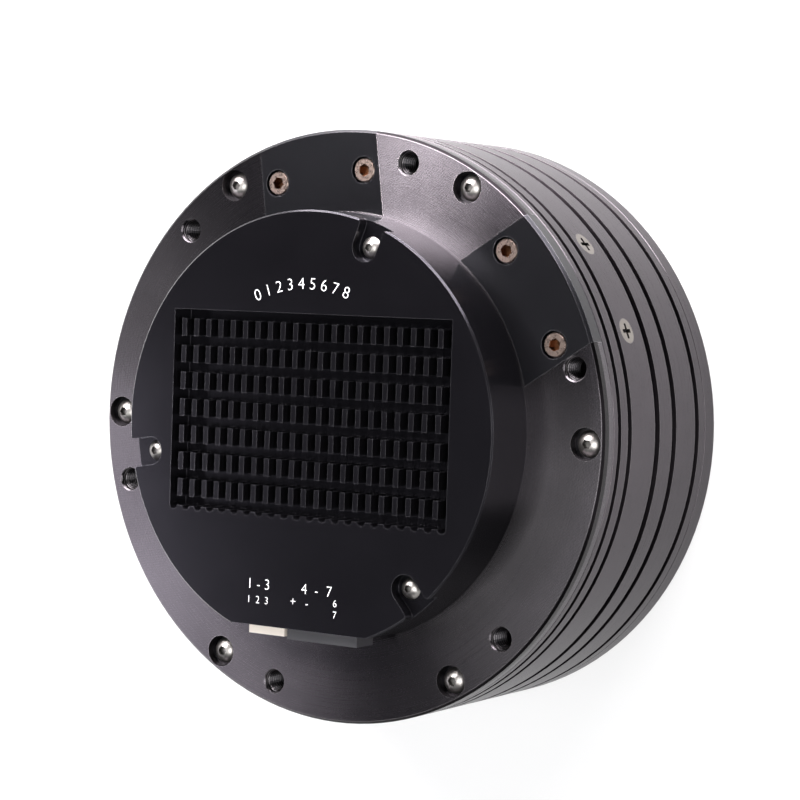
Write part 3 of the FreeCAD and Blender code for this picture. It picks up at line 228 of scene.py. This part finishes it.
    def facing_up(self):
        """1 on faces that look along Z, 0 on the walls round it."""
        split = self.node("ShaderNodeSeparateXYZ")
        self.join(self.node("ShaderNodeTexCoord").outputs["Normal"], split.inputs[0])
        return self.math("GREATER_THAN", self.math("ABSOLUTE", split.outputs[2]), FACE_LIMIT)

    def across_turning(self, bsdf):
        """Stretch reflections across the turning lines: along the radius on a face, along Z on a wall."""
        tangent = self.node("ShaderNodeTangent", direction_type="RADIAL", axis="Z")
        self.join(tangent.outputs[0], bsdf.inputs["Tangent"])
        bsdf.inputs["Anisotropic Rotation"].default_value = 0.25

    def turned_walls(self, aniso, rough):
        """Second finish for the walls round Z, over the first one on the faces."""
        wall = self.node("ShaderNodeBsdfPrincipled")
        for name in ("Base Color", "Normal"):
            self.join(self.bsdf.inputs[name].links[0].from_socket, wall.inputs[name])
        wall.inputs["Metallic"].default_value = self.bsdf.inputs["Metallic"].default_value
        wall.inputs["Roughness"].default_value = rough
        wall.inputs["Anisotropic"].default_value = aniso
        self.across_turning(wall)
        mix = self.node("ShaderNodeMixShader")
        self.join(self.facing_up(), mix.inputs[0])
        self.join(wall.outputs[0], mix.inputs[1])
        self.join(self.bsdf.outputs[0], mix.inputs[2])
        self.join(mix.outputs[0], self.out.inputs["Surface"])

    def set(self, **values):
        """Constant values of the main shader, with _ for a space in the socket's name."""
        for key, value in values.items():
            self.bsdf.inputs[key.replace("_", " ")].default_value = value


def paint(mat, *names):
    """Give nodes of the CAD model one material."""
    for name in names:
        data = NODES[name].data
        data.materials.clear()
        data.materials.append(mat)


# ---------------------------------------------------------------- materials
def turned_anodise(name, dark, light, rough, aniso, mill=0.0, rabbet_shade_height=0.0, hollow_shade_reach=3.0 * MM):
    """Dark anodised alloy, turned: fine rings round Z, face-milling arcs, mottled dye, a painted highlight
    along edges, painted shade in hollows and a painted shade band at the outer rim.
    """
    s = Shader(name)
    vector, x, y, z = s.coords()
    turn = s.math("ADD", s.radius(x, y), z)
    fine = s.line_noise(turn, 9.0, 4.0)
    arcs = s.math("SINE", s.math("MULTIPLY", s.radius(x, y, ARC_CENTRE), 2 * math.pi / ARC_PITCH))
    arcs = s.math("MULTIPLY", s.span(arcs, 0.5, 1.0), s.facing_up())
    mottle = s.cloud(vector, 0.11, 5.0)
    grain = s.cloud(vector, 6.0, 2.0)
    s.colour_between(s.weighted((fine, 0.3), (mottle, 0.5), (arcs, 0.2 * mill)), dark, light)
    # Painted highlight along the turned parts' edges.
    s.worn_edges(0.16 * MM, (0.3, 0.28, 0.29))
    # Painted shade in holes, counterbores and grooves.
    s.dark_hollows(hollow_shade_reach)
    # Painted shade: a near-black band on the ring's outer rim, where a shadowed rabbet would be.
    if rabbet_shade_height:
        outside = s.math("GREATER_THAN", s.radius(x, y), BARREL_R / MM - RABBET_SHADE_DEPTH)
        above = s.math("GREATER_THAN", z, RING_Z / MM - rabbet_shade_height)
        s.over_colour(s.math("MULTIPLY", outside, above), (0.008, 0.007, 0.008))
    s.roughness(s.weighted((fine, 0.5), (grain, 0.3), (mottle, 0.2)), rough - 0.08, rough + 0.1)
    s.bump(s.weighted((fine, 1.0), (arcs, mill), (grain, 0.2)), 0.15, 0.01 * MM)
    s.set(Metallic=1.0, Anisotropic=aniso)
    s.across_turning(s.bsdf)
    return s.mat


def milled_anodise(name, dark, light, rough, metallic, brush, walls=False):
    """Black anodised milled face: blasted grain with faint straight cutter lines, a painted highlight
    along edges, walls turned.
    """
    s = Shader(name)
    vector, x, y, _ = s.coords()
    lines = s.line_noise(s.weighted((x, brush[0]), (y, brush[1])), 3.0, 3.0)
    mottle = s.cloud(vector, 0.09, 5.0)
    grain = s.cloud(vector, 5.0, 3.0)
    s.colour_between(s.weighted((lines, 0.15), (mottle, 0.85)), dark, light)
    # Painted highlight along the milled parts' edges.
    s.worn_edges(0.14 * MM, (0.18, 0.175, 0.19))
    s.roughness(s.weighted((grain, 0.8), (lines, 0.2)), rough - 0.03, rough + 0.03)
    s.bump(s.weighted((grain, 1.0), (lines, 0.2)), 0.1, 0.01 * MM)
    s.set(Metallic=metallic, Specular_IOR_Level=0.3)
    if walls:
        s.turned_walls(0.8, rough)
    return s.mat


def metal(name, dark, light, rough, scale, turned=False, stain=0.0, hollow_shade_reach=0.0, head_z=None):
    """Bare metal with a fine directional finish and faint stains, painted shade in hollows, and painted
    shade, dark copper-tinted, below a cap screw's top.
    """
    s = Shader(name)
    vector, x, y, z = s.coords()
    across = s.radius(x, y) if turned else x
    fine = s.line_noise(s.math("ADD", across, z), scale, 4.0)
    spots = s.cloud(vector, 1.2, 5.0)
    s.colour_between(s.weighted((fine, 1.0 - stain), (spots, stain)), dark, light)
    # Painted shade in screw sockets.
    if hollow_shade_reach:
        s.dark_hollows(hollow_shade_reach)
    # Painted shade, dark copper-tinted, on the socket and side of a cap screw.
    if head_z:
        s.over_colour(s.math("LESS_THAN", z, head_z / MM - HEAD_SHADE_DEPTH), (0.1, 0.045, 0.022))
    s.roughness(spots, rough - 0.07, rough + 0.12)
    s.bump(fine, 0.25, 0.01 * MM)
    s.set(Metallic=1.0)
    return s.mat


def plastic(name, dark, light, rough, grain_scale=4.0, bump=0.3):
    """Moulded plastic, rubber or lacquer with a fine sparked grain."""
    s = Shader(name)
    vector = s.coords()[0]
    grain = s.cloud(vector, grain_scale, 3.0)
    flow = s.cloud(vector, 0.25, 4.0)
    s.colour_between(flow, dark, light)
    s.roughness(grain, rough - 0.06, rough + 0.1)
    s.bump(grain, bump, 0.02 * MM)
    return s.mat


def board_material():
    """Green solder mask with copper tracks that show through as lighter lines."""
    s = Shader("solder_mask")
    vector = s.coords()[0]
    tracks = s.node("ShaderNodeTexBrick")
    tracks.inputs["Scale"].default_value = 0.3
    tracks.inputs["Mortar Size"].default_value = 0.03
    s.join(vector, tracks.inputs["Vector"])
    s.colour_between(tracks.outputs["Fac"], (0.006, 0.05, 0.018), (0.02, 0.12, 0.04))
    s.roughness(s.cloud(vector, 3.0), 0.25, 0.4)
    s.bump(tracks.outputs["Fac"], 0.3, 0.02 * MM)
    return s.mat


def wire_material():
    """Enamelled copper wound in fine turns."""
    s = Shader("enamelled_wire")
    vector, x, y, _ = s.coords()
    turns = s.math("SINE", s.math("MULTIPLY", s.radius(x, y), WIRE_WAVE))
    s.colour_between(s.span(turns, 0.5, 1.0), (0.22, 0.06, 0.02), (0.62, 0.27, 0.11))
    s.roughness(s.cloud(vector, 2.0), 0.25, 0.4)
    s.bump(turns, 0.6, 0.06 * MM)
    s.set(Metallic=1.0)
    return s.mat


def lamination_material():
    """Stack of thin steel sheets."""
    s = Shader("laminations")
    vector, _, _, z = s.coords()
    sheets = s.math("SINE", s.math("MULTIPLY", z, 2 * math.pi / SHEET_PITCH))
    s.colour_between(s.span(sheets, 0.5, 1.0), (0.09, 0.09, 0.1), (0.3, 0.3, 0.32))
    s.roughness(s.cloud(vector, 2.0), 0.35, 0.5)
    s.bump(sheets, 0.5, 0.04 * MM)
    s.set(Metallic=1.0)
    return s.mat


def ink_material():
    """White ink, a little patchy."""
    s = Shader("white_ink")
    vector = s.coords()[0]
    patchy = s.cloud(vector, 5.0, 4.0)
    s.colour_between(patchy, (0.74, 0.74, 0.75), (0.88, 0.88, 0.88))
    s.roughness(patchy, 0.4, 0.55)
    s.bump(patchy, 0.2, 0.01 * MM)
    return s.mat


def make_materials():
    """Every finish by name, each with its darkest and lightest colour and its roughness."""
    return {
        "barrel": turned_anodise("turned_black_anodise", (0.033, 0.028, 0.033), (0.078, 0.067, 0.076),
                                 0.28, 0.8, hollow_shade_reach=0.9 * MM),
        # Painted shade: a darker copy of the turned anodise for the threads, so that the holes read dark.
        "thread": turned_anodise("tapped_anodise_painted_shade", (0.012, 0.011, 0.012), (0.05, 0.047, 0.05),
                                 0.3, 0.0),
        "ring": turned_anodise("turned_black_anodise_face", (0.05, 0.046, 0.051), (0.12, 0.109, 0.119),
                               0.25, 0.88, mill=1.1, rabbet_shade_height=1.8),
        "cover": milled_anodise("milled_black_anodise", (0.01, 0.0095, 0.012), (0.02, 0.019, 0.023),
                                0.2, 0.85, (0.2, 1.0), walls=True),
        "inset": milled_anodise("brushed_black_anodise", (0.008, 0.008, 0.0095), (0.017, 0.017, 0.02),
                                0.26, 0.75, (0.84, 0.54)),
        "alloy": metal("turned_alloy", (0.42, 0.43, 0.45), (0.66, 0.67, 0.69), 0.32, 6.0, turned=True),
        "stainless": metal("stainless", (0.3, 0.285, 0.27), (0.46, 0.44, 0.42), 0.34, 4.0, stain=0.4,
                           hollow_shade_reach=1.2 * MM),
        "satin_screw": metal("satin_stainless", (0.14, 0.127, 0.113), (0.25, 0.228, 0.205), 0.32, 4.0,
                             stain=0.5, hollow_shade_reach=0.9 * MM),
        "warm": metal("warm_stainless", (0.2, 0.15, 0.13), (0.4, 0.31, 0.27), 0.26, 5.0, stain=0.15,
                      head_z=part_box("inset_screws")[1].z),
        "black_screw": metal("black_oxide", (0.03, 0.03, 0.032), (0.08, 0.08, 0.085), 0.4, 4.0, stain=0.4),
        "bearing": metal("bearing_steel", (0.5, 0.5, 0.51), (0.72, 0.72, 0.73), 0.16, 6.0, turned=True),
        "gear": metal("gear_steel", (0.34, 0.34, 0.35), (0.52, 0.52, 0.53), 0.3, 5.0, turned=True),
        "nickel": metal("nickel_plate", (0.52, 0.51, 0.48), (0.7, 0.69, 0.66), 0.25, 3.0, stain=0.5),
        "bronze": metal("sintered_bronze", (0.36, 0.23, 0.1), (0.58, 0.4, 0.2), 0.4, 5.0, stain=0.7),
        "gold": metal("gold_plate", (0.68, 0.48, 0.2), (0.86, 0.66, 0.34), 0.22, 4.0, stain=0.4),
        "can": metal("drawn_can", (0.5, 0.5, 0.51), (0.7, 0.7, 0.71), 0.28, 3.0, stain=0.3),
        "cream": plastic("cream_plastic", (0.72, 0.64, 0.55), (0.82, 0.75, 0.67), 0.45),
        "dark_plastic": plastic("dark_plastic", (0.02, 0.0195, 0.023), (0.034, 0.033, 0.037), 0.5),
        "chip": plastic("chip_plastic", (0.012, 0.012, 0.013), (0.03, 0.03, 0.03), 0.5, 6.0),
        "rubber": plastic("seal_rubber", (0.01, 0.01, 0.01), (0.025, 0.025, 0.025), 0.65, 6.0, 0.5),
        "pad": plastic("silicone_pad", (0.25, 0.3, 0.42), (0.36, 0.42, 0.55), 0.7, 3.0, 0.5),
        "cage": plastic("cage_plastic", (0.2, 0.13, 0.06), (0.34, 0.23, 0.12), 0.5),
        "board": board_material(),
        "wire": wire_material(),
        "laminations": lamination_material(),
        "ink": ink_material(),
    }


def paint_nodes(m):
    """Finish of every node of the CAD model."""
    paint(m["barrel"], "main_housing", "front_housing")
    paint(m["ring"], "rear_flange")
    paint(m["cover"], "rear_cover")
    paint(m["inset"], "inset_plate_top", "inset_plate_side")
    paint(m["warm"], "inset_screws")
    paint(m["stainless"], "flange_screws", "front_screws", "cover_screws", "board_screws")
    paint(m["satin_screw"], "stator_screws")
    paint(m["black_screw"], "ring_gear_screws", "carrier_screws", "retainer_screws")
    paint(m["alloy"], "rotor_hub", "output_flange", "board_spacers")
    paint(m["gear"], "rotor_yoke", "sun_gear_shaft", "ring_gear", "carrier_plate", "bearing_retainer",
          *["planet_gear_%d" % i for i in (1, 2, 3)])
    paint(m["bronze"], *["planet_bush_%d" % i for i in (1, 2, 3)])
    paint(m["bearing"], "rear_bearing_outer_race", "rotor_bearing_inner_races", "rear_bearing_balls",
          "planet_pins", "bearing_outer_race", "bearing_inner_race", "bearing_rollers",
          "front_bearing_outer_race", "front_bearing_balls")
    paint(m["nickel"], "magnets", "encoder_magnet")
    paint(m["cage"], "rear_ball_cage", "front_ball_cage", "roller_spacers")
    paint(m["laminations"], "stator_core")
    paint(m["wire"], "windings", "phase_leads")
    paint(m["board"], "driver_board")
    paint(m["chip"], "power_transistors", "controller_chip", "encoder_chip")
    paint(m["pad"], "thermal_pad")
    paint(m["can"], "capacitors")
    paint(m["rubber"], "output_seal")
    paint(m["cream"], "data_connector")
    paint(m["dark_plastic"], "power_connector")
    paint(m["gold"], "data_pins", "power_pins")


# ---------------------------------------------------------------- added pieces
def mesh_piece(name, bm, mat, body):
    """Put a finished bmesh in the scene as one piece that moves with a body."""
    mesh = bpy.data.meshes.new(name)
    bm.to_mesh(mesh)
    bm.free()
    mesh.materials.append(mat)
    piece = bpy.data.objects.new(name, mesh)
    bpy.context.scene.collection.objects.link(piece)
    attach(piece, body)


def add_thread(bm, centre, radius, inward):
    """Ridge of an internal thread: a helical ribbon on the wall of a hole, narrow at its crest."""
    steps = int(THREAD_LENGTH / THREAD_PITCH) * THREAD_STEPS
    rows = []
    for i in range(steps + 1):
        angle = 2 * math.pi * i / THREAD_STEPS
        z = centre.z + inward * (THREAD_START + THREAD_PITCH * i / THREAD_STEPS)
        out = Vector((math.cos(angle), math.sin(angle) * inward, 0))
        ends = min(1.0, i / THREAD_STEPS, (steps - i) / THREAD_STEPS)
        tip = radius - THREAD_DEPTH * max(ends, RUN_OUT)
        section = ((radius, -THREAD_HALF), (tip, -THREAD_CREST),
                   (tip, THREAD_CREST), (radius, THREAD_HALF))
        base = Vector((centre.x, centre.y, z))
        rows.append([bm.verts.new(base + out * r + Vector((0, 0, h))) for r, h in section])
    for a, b in zip(rows, rows[1:]):
        for k in range(4):
            bm.faces.new((a[k], a[(k + 1) % 4], b[(k + 1) % 4], b[k]))
    bm.faces.new(rows[0])
    bm.faces.new(rows[-1][::-1])


def hole_threads(mount, first_angle, name, mat, body):
    """Threads of every hole of one mount, as one piece."""
    facts = MOUNTS[mount]
    face = Vector(facts["pos_m"])
    inward = -facts["axis"][2]
    ring = facts["dims"]["pcd_mm"] * MM / 2
    radius = facts["dims"]["hole_r_mm"] * MM
    count = facts["dims"]["count"]
    bm = bmesh.new()
    for i in range(count):
        a = math.radians(first_angle + 360.0 * i / count)
        add_thread(bm, face + Vector((ring * math.cos(a), ring * math.sin(a), 0)), radius, inward)
    bmesh.ops.recalc_face_normals(bm, faces=bm.faces)
    mesh_piece(name, bm, mat, body)


def add_text(words, size, place, turn, name, mat):
    """Raised ink lettering, centred on its place on the cover."""
    curve = bpy.data.curves.new(name, "FONT")
    curve.body = words
    curve.size = size
    curve.align_x, curve.align_y = "CENTER", "CENTER"
    curve.offset = -INK_THINNING * size
    curve.extrude = INK_THICK
    piece = bpy.data.objects.new(name, curve)
    bpy.context.scene.collection.objects.link(piece)
    piece.matrix_world = Matrix.Translation(place) @ Matrix.Rotation(turn, 4, "Z")
    bpy.context.view_layer.update()
    mesh = bpy.data.meshes.new_from_object(piece)
    mesh.transform(piece.matrix_world)
    bpy.data.objects.remove(piece)
    bpy.data.curves.remove(curve)
    mesh.materials.clear()
    mesh.materials.append(mat)
    made = bpy.data.objects.new(name, mesh)
    bpy.context.scene.collection.objects.link(made)
    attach(made, "casing")


def printed_marks(m):
    """Pin numbers beside the connectors and a plain numbered scale over the fins."""
    z = COVER_Z + INK_LIFT
    ink = m["ink"]
    for i in range(9):
        angle = math.radians(SCALE_START - SCALE_STEP * i)
        place = Vector((SCALE_R * math.cos(angle), SCALE_R * math.sin(angle), z))
        add_text(str(i), SCALE_SIZE, place, angle - math.pi / 2, "scale_number_%d" % i, ink)
    # Words, then the size, x and y in millimetres
    rows = (("1 - 3", 2.7, -8.5, -28.0), ("4  -  7", 2.7, 3.9, -28.0),
            ("+", 2.4, -1.0, -30.4), ("-", 2.4, 1.95, -30.4),
            ("1", 1.9, -10.5, -30.8), ("2", 1.9, -8.6, -30.8), ("3", 1.9, -6.7, -30.8),
            ("6", 1.8, 7.8, -29.9), ("7", 1.8, 7.8, -31.9))
    for number, (words, size, x, y) in enumerate(rows):
        add_text(words, size * MM, Vector((x * MM, y * MM, z)), 0.0, "pin_mark_%d" % number, ink)


# ---------------------------------------------------------------- stage
def soft_lamp(name, towards, distance, size, power, colour=(1, 1, 1)):
    """Rectangular lamp that stands off the object in one direction and faces it."""
    lamp = bpy.data.lights.new(name, "AREA")
    lamp.shape = "RECTANGLE"
    lamp.size, lamp.size_y = size
    lamp.energy = power
    lamp.color = colour
    stand = bpy.data.objects.new(name, lamp)
    bpy.context.scene.collection.objects.link(stand)
    direction = Vector(towards).normalized()
    stand.location = LAMP_TARGET + direction * distance
    stand.rotation_mode = "QUATERNION"
    stand.rotation_quaternion = (-direction).to_track_quat("-Z", "Y")
    stand.visible_camera = False


def make_world():
    """Pale studio walls up to about 12 degrees, and from 30 a dark ceiling that the flat faces mirror."""
    world = bpy.data.worlds.new("studio")
    bpy.context.scene.world = world
    world.use_nodes = True
    tree = world.node_tree
    tree.nodes.clear()
    split = tree.nodes.new("ShaderNodeSeparateXYZ")
    tree.links.new(tree.nodes.new("ShaderNodeTexCoord").outputs["Generated"], split.inputs[0])
    height = tree.nodes.new("ShaderNodeMapRange")
    height.interpolation_type = "SMOOTHSTEP"
    height.inputs["From Min"].default_value = PALE_BELOW
    height.inputs["From Max"].default_value = DARK_ABOVE
    tree.links.new(split.outputs[2], height.inputs["Value"])
    shade = tree.nodes.new("ShaderNodeMix")
    shade.data_type = "RGBA"
    shade.inputs[MIX_A].default_value = (1.0, 1.0, 1.0, 1)
    shade.inputs[MIX_B].default_value = (0.07, 0.07, 0.08, 1)
    tree.links.new(height.outputs["Result"], shade.inputs[0])
    room = tree.nodes.new("ShaderNodeBackground")
    tree.links.new(shade.outputs[MIX_OUT], room.inputs["Color"])
    out = tree.nodes.new("ShaderNodeOutputWorld")
    tree.links.new(room.outputs[0], out.inputs[0])


def make_floor():
    """White floor with a glow of its own, which still keeps a soft shadow."""
    bm = bmesh.new()
    bmesh.ops.create_grid(bm, x_segments=8, y_segments=8, size=FLOOR_HALF)
    mesh = bpy.data.meshes.new("floor")
    bm.to_mesh(mesh)
    bm.free()
    floor = bpy.data.objects.new("floor", mesh)
    bpy.context.scene.collection.objects.link(floor)
    floor.location.z = -FLOOR_DROP
    s = Shader("white_floor")
    s.set(Base_Color=(0.32, 0.32, 0.32, 1), Roughness=0.9, Specular_IOR_Level=0.0)
    glow = s.node("ShaderNodeEmission")
    glow.inputs["Strength"].default_value = 0.65
    lit = s.node("ShaderNodeAddShader")
    s.join(s.bsdf.outputs[0], lit.inputs[0])
    s.join(glow.outputs[0], lit.inputs[1])
    s.join(lit.outputs[0], s.out.inputs["Surface"])
    mesh.materials.append(s.mat)


def make_camera():
    """Looks down on the rear cover from about 33 degrees off the joint axis, connectors lowest."""
    lens = bpy.data.cameras.new("camera")
    lens.lens, lens.sensor_width = 112.0, 36.0
    lens.shift_x, lens.shift_y = 0.014, -0.034
    camera = bpy.data.objects.new("camera", lens)
    bpy.context.scene.collection.objects.link(camera)
    back = CAMERA_BACK.normalized()
    right = CAMERA_UP.cross(back).normalized()
    up = back.cross(right)
    turn = Matrix((right, up, back)).transposed().to_4x4()
    camera.matrix_world = Matrix.Translation(CAMERA_PLACE) @ turn
    bpy.context.scene.camera = camera


def make_lights():
    """Softboxes and cards: direction, distance, size in metres, power in watts and colour."""
    soft_lamp("top_softbox", (-0.28, 0.54, 0.79), 0.45, (0.26, 0.13), 3.5, (1.0, 0.97, 0.98))
    soft_lamp("back_wall", (0.0, 0.96, 0.26), 0.45, (0.7, 0.3), 11.0, (1.0, 0.95, 0.98))
    soft_lamp("left_softbox", (-0.76, -0.17, 0.63), 0.45, (0.12, 0.16), 0.36, (0.95, 0.93, 1.0))
    soft_lamp("side_card", (-0.86, 0.08, 0.5), 0.25, (0.08, 0.16), 0.05)
    soft_lamp("low_card", (-0.68, -0.36, 0.64), 0.6, (0.2, 0.2), 0.42, (0.93, 0.93, 1.0))
    soft_lamp("overhead_card", (-0.12, -0.26, 0.95), 0.5, (0.25, 0.22), 0.38, (0.97, 1.0, 0.97))
    soft_lamp("fill", (0.62, -0.1, 0.78), 0.8, (0.5, 0.5), 5.0)


# ---------------------------------------------------------------- assembly
bpy.context.scene.view_settings.view_transform = "Standard"
make_camera()
make_world()
make_floor()
make_lights()
materials = make_materials()
paint_nodes(materials)
hole_threads("rear_mounting_holes", HOLE_ANGLE, "rear_hole_threads",
             materials["thread"], "casing")
hole_threads("front_mounting_holes", HOLE_ANGLE, "front_hole_threads",
             materials["thread"], "casing")
hole_threads("output_bolts", OUTPUT_HOLE_ANGLE, "output_hole_threads",
             materials["alloy"], "output")
printed_marks(materials)
